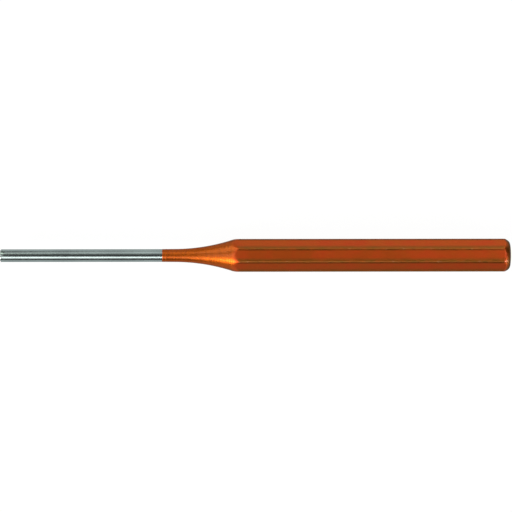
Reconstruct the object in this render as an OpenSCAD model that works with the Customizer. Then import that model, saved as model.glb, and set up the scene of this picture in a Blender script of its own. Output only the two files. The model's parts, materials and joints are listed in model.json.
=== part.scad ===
// Pin punch: an octagonal steel bar turned down to a slim pin, with a lacquer coat on all but the pin.
// The punch lies along X on one of its flats, its working tip towards -X and its struck head towards +X.
// The origin is below the middle of its length, on the surface that it lies on.

/* [Bar] */
// Length of the steel from the working tip to the top of the crowned head
steel_len = 157.5; // [130:0.1:220]
// Width of the octagonal bar across its flats
bar_flats = 10; // [8:0.5:14]
// Radius of the bar's rolled corners
bar_corner_r = 0.8; // [0.3:0.1:1.5]

/* [Pin] */
// Diameter of the pin
pin_d = 3.9; // [1.9:0.1:5.9]
// Length that is turned to the pin's diameter, from the tip to the start of the neck
pin_len = 53.7; // [30:0.1:80]
// Chamfer that breaks the edge of the working tip
tip_chamfer = 0.25; // [0.1:0.05:0.6]

/* [Neck] */
// Radius of the long hollow that is turned between the pin and the bar
neck_r = 58.5; // [25:0.5:90]

/* [Head] */
// Angle of the chamfer round the head, from the tool's axis
head_chamfer_a = 30; // [20:1:45]
// Distance of that chamfer's start on the flats from the top of the head
head_chamfer_len = 1.7; // [1.4:0.05:3]
// Radius of the round between that chamfer and the struck face
head_round_r = 1.7; // [1:0.1:2.5]
// Radius of the crown on the struck face
crown_r = 30; // [15:1:80]

/* [Lacquer] */
// Thickness of the lacquer
coat_t = 0.06; // [0.04:0.01:0.2]
// Thickness that the lacquer thins down to at its edge on the pin
lip_t = 0.03; // [0.02:0.01:0.1]
// Length of the pin that the lacquer covers, from its edge to the start of the neck
lip_len = 3.8; // [1:0.1:20]

/* [Hidden] */
$fn = 128;

// The octagon's corners
flat_count = 8;
flat_a = 360 / flat_count;
corner_angles = [for (i = [0 : flat_count - 1]) (i + 1 / 2) * flat_a];
corner_centre_r = (bar_flats / 2 - bar_corner_r) / cos(flat_a / 2);

// The turned outline
pin_r = pin_d / 2;
blank_r = bar_flats / 2 / cos(flat_a / 2) + coat_t;

// Where that outline starts: at the chamfered tip of the steel, or at the lacquer's edge on the pin
steel_start = [[0, 0], [pin_r - tip_chamfer, 0], [pin_r, tip_chamfer]];
coat_start = [[0, pin_len - lip_len], [pin_r + lip_t, pin_len - lip_len]];

// Centre of the crown, and how far the line of the chamfer passes from it
crown_centre = [0, steel_len - crown_r];
chamfer_start = [bar_flats / 2, steel_len - head_chamfer_len];
chamfer_off = (chamfer_start - crown_centre) * unit_at(head_chamfer_a);
// Angle at which the round meets the crown, seen from either centre, so that it touches both crown and chamfer
crown_meet_a = head_chamfer_a + acos((chamfer_off - head_round_r) / (crown_r - head_round_r));
round_centre = crown_centre + (crown_r - head_round_r) * unit_at(crown_meet_a);

// How the punch lies
whole_len = steel_len + coat_t;
axis_z = bar_flats / 2 + coat_t;

// Steps in which the bar's corners, the head's round and its crown turn
corner_steps = 6;
round_steps = 10;
crown_steps = 6;

// How far the blank bar runs past what is turned from it
overrun = 1;

// Step of length 1 at angle a
function unit_at(a) = [cos(a), sin(a)];

// Points along an arc after its first one, which the outline already has
function rest_of_arc(centre, r, from_a, to_a, steps) =
    [for (i = [1 : steps]) centre + r * unit_at(from_a + (to_a - from_a) * i / steps)];

// Section of the bar: an octagon with round corners, its faces moved out by grow
module bar_section(grow) {
    corner_r = bar_corner_r + grow;
    polygon([for (a = corner_angles, i = [0 : corner_steps])
        corner_centre_r * unit_at(a) + corner_r * unit_at(a + (i / corner_steps - 1 / 2) * flat_a)]);
}

// Half section that the lathe leaves, with the tip at the bottom: from start on, its outline is moved out by grow
module turned_section(grow, start) {
    chamfer_end = round_centre + (head_round_r + grow) * unit_at(head_chamfer_a);
    chamfer_run = blank_r + grow - chamfer_end.x;
    difference() {
        polygon([
            each start,
            [pin_r + grow, pin_len],
            [blank_r + grow, pin_len],
            [blank_r + grow, chamfer_end.y - chamfer_run / tan(head_chamfer_a)],
            chamfer_end,
            each rest_of_arc(round_centre, head_round_r + grow, head_chamfer_a, crown_meet_a, round_steps),
            each rest_of_arc(crown_centre, crown_r + grow, crown_meet_a, 90, crown_steps)
        ]);
        neck_hollow(grow);
    }
}

// Section of what is turned away at the neck
module neck_hollow(grow) {
    intersection() {
        translate([pin_r + neck_r, pin_len])
            circle(r = neck_r - grow, $fn = 4 * $fn);
        translate([pin_r + grow, pin_len])
            square([neck_r, neck_r]);
    }
}

// The tool standing on its tip, its surface moved out by grow
module punch_form(grow, start) {
    intersection() {
        translate([0, 0, -overrun])
            linear_extrude(height = whole_len + 2 * overrun)
                bar_section(grow);
        rotate_extrude()
            turned_section(grow, start);
    }
}

// Lays the standing tool along X on one flat
module lay_down() {
    translate([-whole_len / 2, 0, axis_z])
        rotate([0, 90, 0])
            children();
}

// The one-piece steel tool: pin, neck, octagonal grip and crowned head
module steel_punch() {
    color("#8d9794")
        lay_down()
            punch_form(0, steel_start);
}

// The lacquer: a skin of even thickness from the neck to the top of the head, thinned down to an edge on the pin
module lacquer_coat() {
    color("#a9471c")
        lay_down()
            difference() {
                punch_form(coat_t, coat_start);
                punch_form(0, steel_start);
            }
}

steel_punch();
lacquer_coat();
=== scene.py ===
# Pin punch: an octagonal steel bar turned down to a slim ground pin, lacquered copper-orange on all but the pin.
# Metres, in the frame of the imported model: it lies along X on one flat at z = 0, with its working tip towards -X.
import json
import math

import bpy
import numpy as np
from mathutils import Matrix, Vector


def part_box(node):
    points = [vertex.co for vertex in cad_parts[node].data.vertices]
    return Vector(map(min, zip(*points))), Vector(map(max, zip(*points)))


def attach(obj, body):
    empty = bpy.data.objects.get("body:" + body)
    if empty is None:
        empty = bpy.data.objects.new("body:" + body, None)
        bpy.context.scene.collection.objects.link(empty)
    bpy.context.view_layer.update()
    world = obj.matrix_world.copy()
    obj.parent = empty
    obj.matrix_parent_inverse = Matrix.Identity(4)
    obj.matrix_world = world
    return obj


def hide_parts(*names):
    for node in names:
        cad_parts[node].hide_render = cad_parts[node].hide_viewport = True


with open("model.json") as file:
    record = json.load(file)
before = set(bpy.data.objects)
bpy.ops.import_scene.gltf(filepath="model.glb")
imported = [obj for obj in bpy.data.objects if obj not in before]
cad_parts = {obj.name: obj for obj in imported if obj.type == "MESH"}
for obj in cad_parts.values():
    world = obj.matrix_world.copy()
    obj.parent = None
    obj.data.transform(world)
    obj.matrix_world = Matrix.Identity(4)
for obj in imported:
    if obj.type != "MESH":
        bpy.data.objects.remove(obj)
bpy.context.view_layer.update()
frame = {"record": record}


# Steel punch
# One bar of octagonal tool steel. The pin and the long hollow neck are turned out of it, the head is chamfered,
# rounded and crowned for the hammer, and the pin is ground last, which leaves fine lines round it.
MM = 0.001
steel_low, steel_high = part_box("steel_punch")
coat_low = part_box("lacquer_coat")[0]
pin_mount = next(mount for mount in frame["record"]["mounts"] if mount["name"] == "pin")

tip_x = steel_low.x
steel_len = steel_high.x - steel_low.x
axis_z = (steel_low.z + steel_high.z) / 2
bar_flats = steel_high.z - steel_low.z
coat_t = steel_low.z - coat_low.z

tip_chamfer = 0.25 * MM
pin_r = pin_mount["dims"]["r_mm"] * MM
pin_len = tip_chamfer + pin_mount["dims"]["length_mm"] * MM
neck_r = 58.5 * MM
bar_corner_r = 0.8 * MM
head_chamfer_a = math.radians(30)
head_chamfer_len = 1.7 * MM
head_round_r = 1.7 * MM
crown_r = 30 * MM

# How far the edges are broken: the tip's, and those where the neck and the head's chamfer run out on the octagon
tip_edge = 0.03 * MM
steel_neck_crease = 0.2 * MM
steel_head_crease = 0.02 * MM

# How finely the skins are laid out. Finer rings reach to either side of a crease by crease_reach times its height,
# and the grip's own rings start and end grip_margin inside it.
steel_columns = (12, 8)
steel_ring_counts = [24, 8, 2, 12, 2, 4, 12]
pin_ring_count = 40
chamfer_ring_count = 6
crown_ring_count = 12
crease_reach = 3
grip_margin = 1.5 * MM

# The octagon's corner circles and flats, and the centres of the head's round and crown. The chamfer passes the
# crown's centre by chamfer_off, and the round touches both.
flat_count = 8
flat_a = 2 * math.pi / flat_count
corner_out = (bar_flats / 2 - bar_corner_r) / math.cos(flat_a / 2)
flat_half = (bar_flats / 2 - bar_corner_r) * math.tan(flat_a / 2)
crown_centre = steel_len - crown_r
chamfer_off = math.cos(head_chamfer_a) * bar_flats / 2 + math.sin(head_chamfer_a) * (crown_r - head_chamfer_len)
crown_meet_a = head_chamfer_a + math.acos((chamfer_off - head_round_r) / (crown_r - head_round_r))
round_out = (crown_r - head_round_r) * math.cos(crown_meet_a)
round_centre = crown_centre + (crown_r - head_round_r) * math.sin(crown_meet_a)


def round_the_octagon(flat_steps, corner_steps):
    """Angles about the axis at which a skin has its columns: evenly across each flat, as the arctangent of the
    place across it over the distance to the axis, and evenly round each corner between the flats."""
    edge_a = math.atan(flat_half / (bar_flats / 2))
    across = np.arctan(np.linspace(-1, 1, flat_steps, endpoint=False) * math.tan(edge_a))
    round_corner = np.linspace(edge_a, flat_a - edge_a, corner_steps, endpoint=False)
    one_side = np.concatenate([across, round_corner])
    return np.concatenate([one_side + side * flat_a for side in range(flat_count)])


def octagon_radius(angle, grow):
    """Distance from the axis to the bar's surface moved out by grow. Across a flat it is the distance to the flat
    over the cosine of the angle from its middle. At a corner it is where a line from the axis leaves the corner's
    circle: its centre's distance times the cosine of the angle from it, plus the root of what the radius squared
    has over the sine part squared."""
    from_flat = np.abs((angle + flat_a / 2) % flat_a - flat_a / 2)
    on_flat = (bar_flats / 2 + grow) / np.cos(from_flat)
    from_corner = flat_a / 2 - from_flat
    side = corner_out * np.sin(from_corner)
    root = np.sqrt(np.maximum((bar_corner_r + grow) ** 2 - side**2, 0))
    on_corner = corner_out * np.cos(from_corner) + root
    return np.where(on_flat * np.sin(from_flat) <= flat_half, on_flat, on_corner)


def neck_radius(along, grow):
    """Radius of the turned pin and neck at a distance along from the tip: the pin's up to the neck, and from there
    a circle of neck_r hollows it out, so it is the circle's centre less the root of its radius squared less the
    distance into the neck squared."""
    into = np.clip(along - pin_len, 0, neck_r - grow)
    return pin_r + neck_r - np.sqrt((neck_r - grow) ** 2 - into**2)


def neck_run_out(radius, grow):
    """Distance from the tip at which the hollow neck reaches a radius: neck_radius, solved for along."""
    return pin_len + np.sqrt((neck_r - grow) ** 2 - (pin_r + neck_r - radius) ** 2)


def chamfer_end(grow):
    """Radius and distance from the tip at which the head's chamfer turns into its round."""
    reach = head_round_r + grow
    return round_out + reach * math.cos(head_chamfer_a), round_centre + reach * math.sin(head_chamfer_a)


def chamfer_run_out(radius, grow):
    """Distance from the tip at which the head's chamfer reaches a radius, along its straight slope."""
    end_r, end_x = chamfer_end(grow)
    return end_x - (radius - end_r) / math.tan(head_chamfer_a)


def softer_of(one, other, height):
    """The lower of two radii, with the crease between them rounded: where they differ by less than height, the
    square of the share that is missing takes up to a quarter of height off."""
    missing = np.maximum(1 - np.abs(one - other) / height, 0)
    return np.minimum(one, other) - missing**2 * height / 4


def tip_rings(angle):
    """Rings of the working tip and the pin, each as (distance from the tip, radius) at every angle: on the flat
    face, round the two edges of its chamfer, each broken by tip_edge, and evenly along the pin."""
    face_r = pin_r - tip_chamfer
    edge_sag = tip_edge / 5
    rings = [(0, face_r / 2), (0, face_r - tip_edge), (edge_sag, face_r)]
    rings += [(tip_chamfer - tip_edge, pin_r - tip_edge), (tip_chamfer, pin_r - edge_sag)]
    rings += [(tip_chamfer + tip_edge, pin_r)]
    for share in np.arange(1, pin_ring_count + 1) / pin_ring_count:
        rings.append((tip_chamfer + (pin_len - tip_chamfer) * share, pin_r))
    return [(along + 0 * angle, radius + 0 * angle) for along, radius in rings]


def bar_rings(angle, grow, neck_crease, head_crease, ring_counts):
    """Rings of the turned bar from the start of the neck to the crowned head. The neck's rings are stretched to end
    on its run-out and the head's to start on the chamfer's, and softer_of rounds both creases. The counts are those
    of the neck, its crease, the stretch up to the grip, the grip, the stretch up to the head, its crease and its
    round."""
    octagon = octagon_radius(angle, grow)
    neck_end = neck_run_out(octagon, grow)
    head_start = chamfer_run_out(octagon, grow)
    end_r, end_x = chamfer_end(grow)
    neck_soft, head_soft = crease_reach * neck_crease, crease_reach * head_crease
    stops = [pin_len, neck_end - neck_soft, neck_end + neck_soft, neck_end.max() + grip_margin]
    stops += [head_start.min() - grip_margin, head_start - head_soft, head_start]
    rings = []
    for start, stop, count in zip(stops, stops[1:], ring_counts):
        for share in np.arange(1, count + 1) / count:
            along = start + (stop - start) * share + 0 * angle
            turned = softer_of(neck_radius(along, grow), octagon, neck_crease)
            chamfer = end_r - (along - end_x) * math.tan(head_chamfer_a)
            rings.append((along, softer_of(turned, chamfer, head_crease)))
    return rings + head_rings(angle, grow, head_crease, ring_counts[-1])


def head_rings(angle, grow, crease, round_ring_count):
    """Rings from the chamfer's run-out to the last one before the crown's pole: down the chamfer's slope, then round
    the head's round, then over the crown, by angle on each circle."""
    octagon = octagon_radius(angle, grow)
    end_r, end_x = chamfer_end(grow)
    rings = []
    for share in np.arange(1, chamfer_ring_count + 1) / chamfer_ring_count:
        radius = octagon + (end_r - octagon) * share
        rings.append((chamfer_run_out(radius, grow), softer_of(octagon, radius, crease)))
    for turn in np.linspace(head_chamfer_a, crown_meet_a, round_ring_count + 1)[1:]:
        radius = round_out + (head_round_r + grow) * math.cos(turn)
        along = round_centre + (head_round_r + grow) * math.sin(turn)
        rings.append((along + 0 * angle, softer_of(octagon, radius, crease)))
    for turn in np.linspace(crown_meet_a, math.pi / 2, crown_ring_count, endpoint=False)[1:]:
        radius = (crown_r + grow) * math.cos(turn)
        along = crown_centre + (crown_r + grow) * math.sin(turn)
        rings.append((along + 0 * angle, radius + 0 * angle))
    return rings


def new_object(name, data):
    """An object in the scene for a mesh, a lamp or a camera."""
    made = bpy.data.objects.new(name, data)
    bpy.context.scene.collection.objects.link(made)
    return made


def closed_skin(name, rings, angle, first_pole, last_pole):
    """A closed mesh over rings that run round the axis: point (ring, column) is the ring's distance along X, and
    its radius times the cosine and the sine of the column's angle. Squares join neighbouring rings, and a fan of
    triangles joins each end ring to its pole on the axis."""
    along = np.array([ring[0] for ring in rings]) + tip_x
    radius = np.array([ring[1] for ring in rings])
    points = np.stack([along, radius * np.cos(angle), radius * np.sin(angle) + axis_z], axis=-1)
    poles = np.array([[tip_x + first_pole, 0, axis_z], [tip_x + last_pole, 0, axis_z]])
    ring_count, column_count = along.shape
    column = np.arange(column_count)
    after = (column + 1) % column_count
    row = np.arange(ring_count - 1)[:, None] * column_count
    next_row = row + column_count
    squares = np.stack([row + column, row + after, next_row + after, next_row + column], axis=-1)
    pole = ring_count * column_count
    last_row = pole - column_count
    first_fan = np.stack([0 * column + pole, after, column], axis=-1)
    last_fan = np.stack([0 * column + pole + 1, last_row + column, last_row + after], axis=-1)
    faces = squares.reshape(-1, 4).tolist() + first_fan.tolist() + last_fan.tolist()
    mesh = bpy.data.meshes.new(name)
    mesh.from_pydata(np.concatenate([points.reshape(-1, 3), poles]).tolist(), [], faces)
    mesh.polygons.foreach_set("use_smooth", np.ones(len(mesh.polygons), bool))
    piece = new_object(name, mesh)
    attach(piece, "root")
    return piece


class Finish:
    """A material in the making. A setting is named after the input that it goes to, with _ for a space, and is a
    value or another node's socket. Most methods add one node and give back the socket that comes out of it."""

    def __init__(self, name):
        self.material = bpy.data.materials.new(name)
        self.material.use_nodes = True
        self.nodes = self.material.node_tree.nodes
        self.shader = next(node for node in self.nodes if node.type == "BSDF_PRINCIPLED")

    def feed(self, socket, value):
        """Joins another node's socket to this one, or sets this one to a value."""
        if isinstance(value, bpy.types.NodeSocket):
            self.material.node_tree.links.new(value, socket)
        else:
            socket.default_value = value

    def fill(self, node, settings):
        """Feeds each setting to the node's input, or sets the property of that name where it has no such input."""
        for key, value in settings.items():
            input_name = key.replace("_", " ")
            if input_name in node.inputs:
                self.feed(node.inputs[input_name], value)
            else:
                setattr(node, key, value)

    def node(self, kind, **settings):
        """A new node of this kind."""
        new = self.nodes.new("ShaderNode" + kind)
        self.fill(new, settings)
        return new

    def surface(self, **settings):
        """The material, with these settings on its shader."""
        self.fill(self.shader, settings)
        return self.material

    def place(self, scale=(1, 1, 1)):
        """Place on the object in metres, times a scale along each axis. One below 1 draws a pattern out that way."""
        here = self.node("TexCoord").outputs["Object"]
        return self.node("Mapping", Vector=here, Scale=scale).outputs["Vector"]

    def attribute(self, name):
        """What the piece's mesh carries under this name."""
        return self.node("Attribute", attribute_name=name).outputs["Fac"]

    def noise(self, place, **settings):
        """Soft noise with about a half as its middle."""
        return self.node("TexNoise", Vector=place, **settings).outputs["Fac"]

    def math(self, operation, *values):
        """What one of Blender's sums gives for the values."""
        node = self.node("Math", operation=operation)
        for socket, value in zip(node.inputs, values):
            self.feed(socket, value)
        return node.outputs["Value"]

    def spread(self, value, low, high, to_low=0, to_high=1):
        """The value's run from low to high, laid out evenly from to_low to to_high and held at those ends."""
        ends = {"From_Min": low, "From_Max": high, "To_Min": to_low, "To_Max": to_high}
        return self.node("MapRange", Value=value, **ends).outputs["Result"]

    def ramp(self, value, tones):
        """The colour and the cover that a ramp has at the value, from its (place, colour with cover) pairs."""
        node = self.node("ValToRGB", Fac=value)
        elements = node.color_ramp.elements
        elements.remove(elements[1])
        elements[0].position, elements[0].color = tones[0]
        for ramp_place, tone in tones[1:]:
            elements.new(ramp_place).color = tone
        return node.outputs["Color"], node.outputs["Alpha"]

    def blend(self, share, one, other):
        """One colour where the share is 0 and the other where it is 1."""
        return self.node("Mix", data_type="RGBA", Factor=share, A=one, B=other).outputs["Result"]

    def bump(self, height, **settings):
        """The surface's direction where a height raises it."""
        return self.node("Bump", Height=height, **settings).outputs["Normal"]


# Greys of the steel's clouds, and the roughness and the depth of its grinding lines
cloudy_grey = [(0.3, (0.24, 0.285, 0.28, 1)), (0.7, (0.285, 0.34, 0.33, 1))]
line_roughness = (0.15, 0.25)
line_depth = 0.004 * MM


def ground_steel():
    """Cool grey ground steel: slow clouds in its grey, and fine lines round the pin in its roughness and its bump,
    from noise that is drawn out across X."""
    finish = Finish("bare_ground_steel")
    clouds = finish.noise(finish.place(), Scale=110, Detail=2)
    lines = finish.noise(finish.place((1, 0.04, 0.04)), Scale=3600, Detail=3, Roughness=0.6)
    return finish.surface(
        Base_Color=finish.ramp(clouds, cloudy_grey)[0],
        Metallic=1,
        Specular_Tint=(0.42, 0.48, 0.48, 1),
        Roughness=finish.spread(lines, 0.3, 0.7, *line_roughness),
        Normal=finish.bump(lines, Strength=0.5, Distance=line_depth),
    )


steel_angles = round_the_octagon(*steel_columns)
steel_rings = tip_rings(steel_angles)
steel_rings += bar_rings(steel_angles, 0, steel_neck_crease, steel_head_crease, steel_ring_counts)
steel_piece = closed_skin("steel_punch_ground", steel_rings, steel_angles, 0, steel_len)
steel_piece.data.materials.append(ground_steel())
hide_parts("steel_punch")


# Lacquer coat
# A copper-orange lacquer, sprayed over the head, the grip, the neck and the root of the pin, and masked off the rest.
# It rounds every crease that the lathe left, is worn along the octagon's corners with painted shade and a painted
# highlight beside the wear, has painted shade on the head's round, and ends in a thin soft lip.
lip_t = 0.03 * MM
lip_len = 3.8 * MM
lip_nose = 0.08 * MM
lip_wander = 0.09 * MM
coat_head_crease = 0.12 * MM
coat_neck_crease = 0.3 * MM

coat_columns = (16, 10)
coat_ring_counts = [48, 20, 4, 40, 4, 10, 24]
nose_ring_count = 5
lip_ring_count = 8

# The lip's waves, each as its height against the others', its times round the pin and its phase
lip_waves = [(1, 1, 0.6), (0.5, 3, 2.1), (0.3, 7, 0)]
lip_wave_top = sum(height for height, times, phase in lip_waves)


def lip_edge(angle):
    """Distance from the tip to the lacquer's edge: a circle round the pin that wanders by slow sine waves, from none
    to twice lip_wander at most."""
    wave = sum(height * np.sin(times * angle + phase) for height, times, phase in lip_waves)
    return pin_len - lip_len + lip_wander * (1 + wave / lip_wave_top)


def lip_rings(angle):
    """Rings of the lip: a quarter of an ellipse up from the bare pin, then an even rise to the coat's thickness
    at the start of the neck."""
    edge = lip_edge(angle)
    rings = [(edge, pin_r + 0 * angle)]
    for turn in np.linspace(0, math.pi / 2, nose_ring_count + 1)[1:]:
        rings.append((edge + lip_nose * (1 - math.cos(turn)), pin_r + lip_t * math.sin(turn) + 0 * angle))
    nose_end = edge + lip_nose
    for share in np.arange(1, lip_ring_count + 1) / lip_ring_count:
        rings.append((nose_end + (pin_len - nose_end) * share, pin_r + lip_t + (coat_t - lip_t) * share + 0 * angle))
    return rings


coat_angles = round_the_octagon(*coat_columns)
inner_rings = [(pin_len + 0 * coat_angles, pin_r + 0 * coat_angles)]
inner_rings += bar_rings(coat_angles, 0, steel_neck_crease, steel_head_crease, steel_ring_counts)
outer_rings = lip_rings(coat_angles)
outer_rings += bar_rings(coat_angles, coat_t, coat_neck_crease, coat_head_crease, coat_ring_counts)
coat_rings = inner_rings[::-1] + outer_rings
coat_piece = closed_skin("lacquer_coat_sprayed", coat_rings, coat_angles, steel_len, steel_len + coat_t)

# How far the worn and shaded line along the corners, the neck's own tones and the painted shade on the head's round
# take to fade in and out
grip_fade = 0.6 * MM
grip_head_margin = 0.3 * MM
neck_fade = 1.5 * MM
round_fade = 1 * MM
plain_crown_r = 2.6 * MM

# Half of the way round from one flat's middle to the next, in millimetres
corner_reach = flat_a / 2 * bar_flats / 2 / MM


def corner_phase(angle):
    """Place between one flat's middle and the next, as a phase that a sine and a cosine carry over the flats'
    middles without a jump: half a turn at a flat's middle, less half a turn for each half flat that the angle has
    gone on from there. It is 0 at the corner."""
    return math.pi * (1 - angle % flat_a / (flat_a / 2))


def on_grip(along, angle):
    """Share of 1 on the octagon, and none on the neck and the head: 1 less what a place lacks in distance past the
    neck's run-out or before the chamfer's, over grip_fade."""
    octagon = octagon_radius(angle, coat_t)
    near_neck = np.maximum(neck_run_out(octagon, coat_t) + grip_fade - along, 0)
    near_head = np.maximum(along - chamfer_run_out(octagon, coat_t) + grip_head_margin, 0)
    return np.clip(1 - (near_neck + near_head) / grip_fade, 0, 1)


def on_neck(along, angle):
    """Share of 1 where the surface is turned: the distance before the neck's run-out over neck_fade."""
    return np.clip((neck_run_out(octagon_radius(angle, coat_t), coat_t) - along) / neck_fade, 0, 1)


def on_head_round(along, radius, angle):
    """Share of 1 on the head's round: the distance past the chamfer's run-out over round_fade, and none on the
    middle of the crown."""
    past = along - chamfer_run_out(octagon_radius(angle, coat_t), coat_t)
    return np.clip(past / round_fade, 0, 1) * np.clip((radius - plain_crown_r) / round_fade, 0, 1)


def skin_carries(name, values):
    """Puts one number per point on the coat, as an attribute that its material reads; the poles get nothing."""
    values = np.append(np.array(values).ravel(), [0, 0])
    coat_piece.data.attributes.new(name, "FLOAT", "POINT").data.foreach_set("value", values)


skin_carries("corner_sine", [np.sin(corner_phase(coat_angles)) for ring in coat_rings])
skin_carries("corner_cosine", [np.cos(corner_phase(coat_angles)) for ring in coat_rings])
skin_carries("on_grip", [on_grip(along, coat_angles) for along, radius in coat_rings])
skin_carries("on_neck", [on_neck(along, coat_angles) for along, radius in coat_rings])
skin_carries("on_head_round", [on_head_round(along, radius, coat_angles) for along, radius in coat_rings])

# Tones of the flats by their mottle and of the neck by its streaks, of the scuffs, and the painted shade of the
# head's round
mottled_orange = [(0.35, (0.405, 0.066, 0.008, 1)), (0.65, (0.425, 0.051, 0.009, 1))]
turned_gold = [(0.25, (0.285, 0.050, 0.003, 1)), (0.75, (0.37, 0.072, 0.0045, 1))]
pale_scuff = (0.31, 0.11, 0.04, 1)
# Painted shade: the head's round is darkened all round, standing in for the dark reflection that it shows
painted_shade_round = (0.135, 0.041, 0.005, 1)

# Tones and cover of the line along each corner, by the millimetres past the corner in the way that corner_phase
# grows:
# painted shade before the corner, then worn olive-tan lacquer that is partly a painted highlight after it
wear_shade_sheen_low, wear_shade_sheen_high = -1, 1.5
# The dark tone is painted shade on one side of each corner; the olive-tan tones after it are worn lacquer and partly
# a painted highlight
painted_shade_tone = (0.15, 0.039, 0.004)
wear_shade_sheen_line = [(-0.65, (*painted_shade_tone, 0)), (-0.425, (*painted_shade_tone, 1)), (-0.125, (*painted_shade_tone, 1))]
wear_shade_sheen_line += [(0.075, (0.178, 0.069, 0.008, 1)), (0.55, (0.215, 0.066, 0.008, 1))]
wear_shade_sheen_line += [(1, (0.27, 0.062, 0.009, 0.7)), (1.4, (0.33, 0.06, 0.009, 0))]
wear_shade_sheen_tones = [((past - wear_shade_sheen_low) / (wear_shade_sheen_high - wear_shade_sheen_low), tone) for past, tone in wear_shade_sheen_line]

# Where most of a noise lies, the worn and shaded line's least cover, and how far the scuffs reach from the corner in
# millimetres
noise_low, noise_high = 0.35, 0.65
wear_shade_sheen_least = 0.65
scuff_full, scuff_end = 0.2, 0.5

# Roughness by the mottle, what the neck has less of it, and the depths of flakes, orange peel and turned streaks
lacquer_roughness = (0.39, 0.44)
neck_smoother = 0.04
flake_depth = 0.02 * MM
peel_depth = 0.02 * MM
streak_depth = 0.09 * MM


def copper_lacquer():
    """Metallic copper-orange lacquer: a slow mottle in its orange and its gloss, flakes that tilt the shine, and a
    slight orange peel. The turned neck is more golden and a little smoother, with fine streaks round it. Along each
    corner of the octagon runs a line, dark on one side as painted shade and olive-tan on the other as worn lacquer
    that is partly a painted highlight, which noise thins in places, with a few pale scuffs on its middle. The head's
    round is darkened all round as painted shade."""
    finish = Finish("sprayed_copper_lacquer")
    grip, neck = finish.attribute("on_grip"), finish.attribute("on_neck")
    mottle = finish.noise(finish.place(), Scale=160, Detail=3, Roughness=0.55)
    turning = finish.noise(finish.place((1, 0.04, 0.04)), Scale=2600, Detail=3, Roughness=0.65)
    colour = finish.blend(neck, finish.ramp(mottle, mottled_orange)[0], finish.ramp(turning, turned_gold)[0])

    # The line along each corner: painted shade on one side, worn lacquer that is partly a painted highlight on the
    # other
    corner_turn = finish.math("ARCTAN2", finish.attribute("corner_sine"), finish.attribute("corner_cosine"))
    past_corner = finish.math("MULTIPLY", corner_turn, corner_reach / math.pi)
    wear_shade_sheen_tone, wear_shade_sheen_cover = finish.ramp(finish.spread(past_corner, wear_shade_sheen_low, wear_shade_sheen_high), wear_shade_sheen_tones)
    along_corner = finish.place((0.35, 1, 1))
    patches = finish.noise(along_corner, Scale=900, Detail=3, Roughness=0.6)
    wear_shade_sheen_share = finish.math("MULTIPLY", wear_shade_sheen_cover, grip)
    wear_shade_sheen_share = finish.math("MULTIPLY", wear_shade_sheen_share, finish.spread(patches, noise_low, noise_high, wear_shade_sheen_least, 1))
    colour = finish.blend(wear_shade_sheen_share, colour, wear_shade_sheen_tone)

    on_edge = finish.spread(finish.math("ABSOLUTE", past_corner), scuff_full, scuff_end, 1, 0)
    knocks = finish.noise(along_corner, Scale=1300, Detail=1)
    scuffed = finish.math("MULTIPLY", on_edge, grip)
    scuffed = finish.math("MULTIPLY", scuffed, finish.spread(knocks, 0.66, 0.76))
    colour = finish.blend(scuffed, colour, pale_scuff)
    # Painted shade on the head's round, which darkens it all round
    colour = finish.blend(finish.attribute("on_head_round"), colour, painted_shade_round)

    flakes = finish.node("TexVoronoi", Vector=finish.place(), Scale=4500).outputs["Distance"]
    peel = finish.noise(finish.place(), Scale=700, Detail=2)
    relief = finish.bump(flakes, Strength=0.3, Distance=flake_depth)
    relief = finish.bump(peel, Strength=0.3, Distance=peel_depth, Normal=relief)
    relief = finish.bump(turning, Strength=neck, Distance=streak_depth, Normal=relief)
    roughness = finish.spread(mottle, noise_low, noise_high, *lacquer_roughness)
    return finish.surface(
        Base_Color=colour,
        Metallic=1,
        Specular_Tint=(0.27, 0.42, 0.34, 1),
        Roughness=finish.math("MULTIPLY_ADD", neck, -neck_smoother, roughness),
        Coat_Weight=0.16,
        Coat_Roughness=0.22,
        Normal=relief,
    )


coat_piece.data.materials.append(copper_lacquer())
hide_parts("lacquer_coat")


# Floor
# A plain white sheet that the punch lies on, so wide that its edge stays out of low views.
floor_half = 20
shown_white = 0.95
floor_corners = [(-floor_half, -floor_half, 0), (floor_half, -floor_half, 0)]
floor_corners += [(floor_half, floor_half, 0), (-floor_half, floor_half, 0)]
floor_mesh = bpy.data.meshes.new("floor")
floor_mesh.from_pydata(floor_corners, [], [(0, 1, 2, 3)])
floor = new_object("floor", floor_mesh)


def white_sheet():
    """White for whatever sees it directly or in a reflection, less a small share that the lamps light, which keeps
    the punch's shadow."""
    finish = Finish("white_sheet")
    finish.surface(Base_Color=(0.95, 0.95, 0.95, 1), Roughness=0.9, Specular_IOR_Level=0)
    rays = finish.node("LightPath").outputs
    seen = finish.math("MAXIMUM", rays["Is Camera Ray"], rays["Is Glossy Ray"])
    seen = finish.math("MAXIMUM", seen, rays["Is Transmission Ray"])
    white = finish.node("Emission", Color=(1, 1, 1, 1), Strength=1)
    both = finish.node("MixShader", Fac=finish.math("MULTIPLY", seen, shown_white))
    finish.feed(both.inputs[1], finish.shader.outputs["BSDF"])
    finish.feed(both.inputs[2], white.outputs["Emission"])
    output = next(node for node in finish.nodes if node.type == "OUTPUT_MATERIAL")
    finish.feed(output.inputs["Surface"], both.outputs["Shader"])
    return finish.material


floor_mesh.materials.append(white_sheet())


# Light and camera
# On the -Y side a softbox and a strip give the pin and the neck their long highlight, and a small bright panel far
# out past the tip gives the neck's end its gleam. Panels overhead and on the +Y side light the upper flats, and two
# small ones the head. The room is a dim grey, and the camera looks straight down through a long lens.


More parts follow.
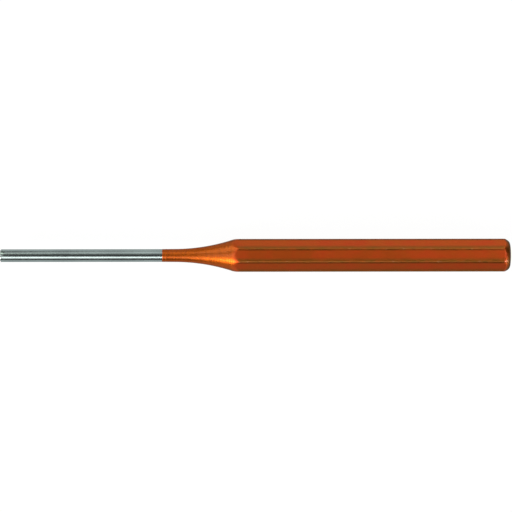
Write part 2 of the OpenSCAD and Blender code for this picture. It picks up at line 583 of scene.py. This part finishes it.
def soft_light(name, along, lean, distance, length, width, brightness, colour):
    """A panel that faces the middle of the punch, over the point along on the X axis at a distance, leaning from
    the vertical towards +Y by an angle in degrees. Its power is its brightness times its area times pi."""
    lamp = bpy.data.lights.new(name, "AREA")
    lamp.shape = "RECTANGLE"
    lamp.size = length
    lamp.size_y = width
    lamp.energy = brightness * math.pi * length * width
    lamp.color = colour
    panel = new_object(name, lamp)
    lean = math.radians(lean)
    panel.location = (along, distance * math.sin(lean), distance * math.cos(lean))
    panel.rotation_euler = panel.location.to_track_quat("Z", "Y").to_euler()
    panel.visible_camera = False


# Name, place along X, lean, distance, length, width, brightness and colour
soft_light("front_softbox", -0.35, -34, 0.8, 0.9, 0.6, 1.2, (1, 0.97, 0.95))
soft_light("front_strip", -0.06, -34, 0.8, 0.42, 0.30, 2.8, (1, 1, 1))
soft_light("front_left", -0.90, -55, 0.8, 0.30, 0.20, 124.0, (1, 1, 1))
soft_light("top_left", -0.5, 2, 0.8, 0.36, 0.4, 2.9, (1, 1, 1))
soft_light("top_right", 0.5, 2, 0.8, 0.3, 0.4, 4.6, (1, 1, 1))
soft_light("back_left", -0.5, 54, 0.8, 0.44, 0.95, 2.8, (0.94, 1, 0.86))
soft_light("back_mid", -0.05, 42, 0.8, 0.2, 0.7, 0.34, (1, 1, 1))
soft_light("back_right", 0.36, 48, 0.8, 0.3, 0.95, 3.05, (0.92, 1, 0.84))
soft_light("back_low", 0.15, 62, 0.8, 0.6, 0.8, 0.9, (1, 1, 1))
soft_light("head_right", 0.75, -20, 0.4, 0.2, 0.2, 2.0, (1, 1, 1))
soft_light("head_glint", 0.72, -62, 0.47, 0.12, 0.12, 44.0, (1, 1, 1))

room_brightness = 0.07
world = bpy.data.worlds.new("room")
bpy.context.scene.world = world
world.use_nodes = True
world.node_tree.nodes["Background"].inputs["Color"].default_value = (1, 1, 1, 1)
world.node_tree.nodes["Background"].inputs["Strength"].default_value = room_brightness

frame_width = 158.1 * MM
aim_x, aim_y = 0.17 * MM, -0.19 * MM
camera_turn = math.radians(-0.065)
lens = bpy.data.cameras.new("camera")
lens.lens = 200
lens.sensor_width = 36
lens.clip_start = 0.01
camera = new_object("camera", lens)
camera.location = (aim_x, aim_y, axis_z + frame_width * lens.lens / lens.sensor_width)
camera.rotation_euler = (0, 0, camera_turn)
bpy.context.scene.camera = camera
bpy.context.scene.view_settings.view_transform = "Standard"
